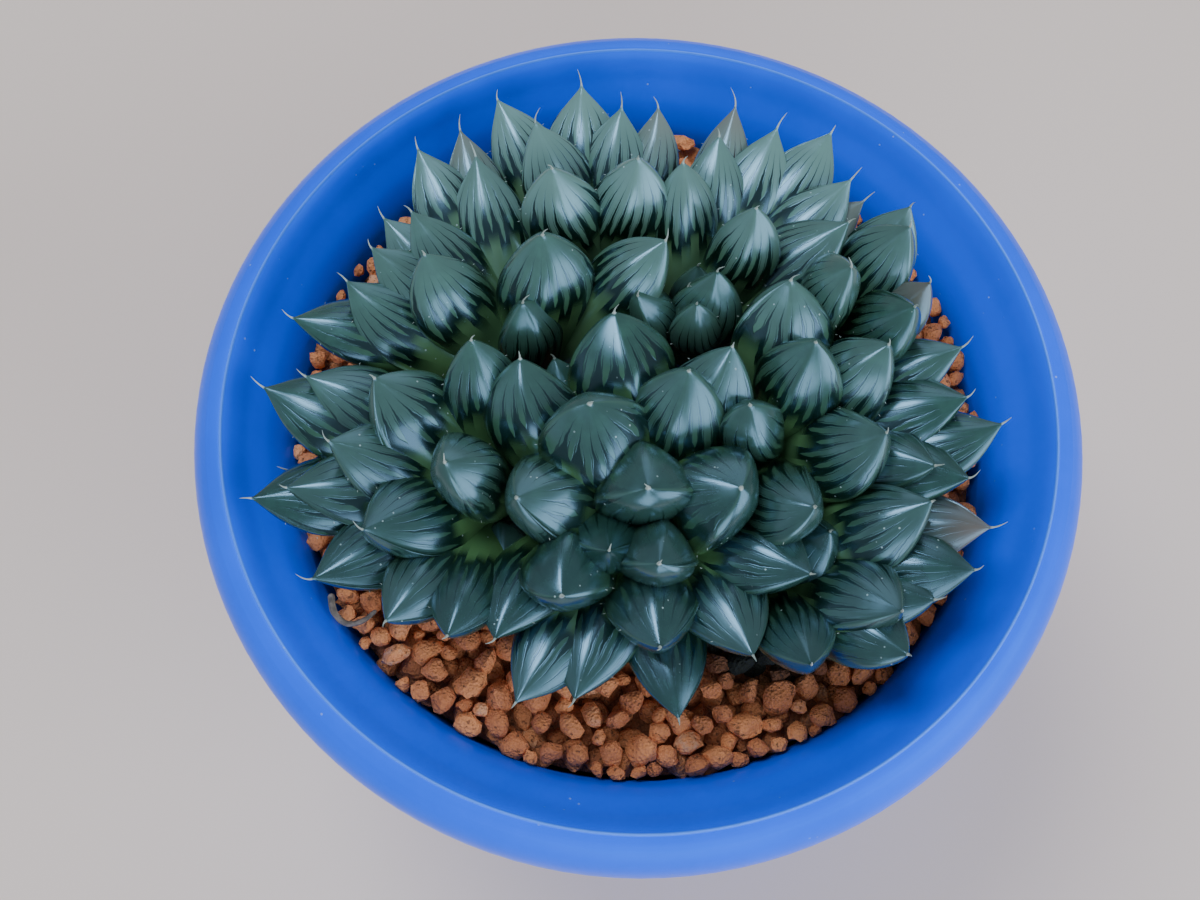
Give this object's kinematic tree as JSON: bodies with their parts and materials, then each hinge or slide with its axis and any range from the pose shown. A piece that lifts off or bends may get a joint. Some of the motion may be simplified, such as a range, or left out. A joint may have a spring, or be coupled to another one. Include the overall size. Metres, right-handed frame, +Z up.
{
  "type": "potted haworthia obtusa",
  "caption": "Clump of fat, pointed, windowed haworthia leaves in a round plastic pot with a rolled rim, on coarse fired-clay grains.",
  "frame": {"origin": "on the pot's axis, in the plane of its foot", "axes": "+Z up along the pot's axis; the picture looks along +Y from above, with +X to its right"},
  "size_m": [0.12, 0.12, 0.1137],
  "materials": {
    "blue_plastic": "blue moulded plastic, satin to glossy, lightly scuffed",
    "fired_clay": "orange-brown fired-clay grains, matt and porous",
    "leaf": "living leaf skin, firm and glossy, dark green with blue-grey translucent windows",
    "dried_root": "dry grey-brown root, matt and fibrous"
  },
  "bodies": {
    "root": {"pot": "blue_plastic", "soil": "fired_clay", "dried_root": "dried_root", "head_front": "leaf", "head_middle_back": "leaf", "head_left": "leaf", "head_right": "leaf", "head_back_left": "leaf", "head_back": "leaf", "head_front_right": "leaf", "head_back_right": "leaf"}
  },
  "joints": []
}
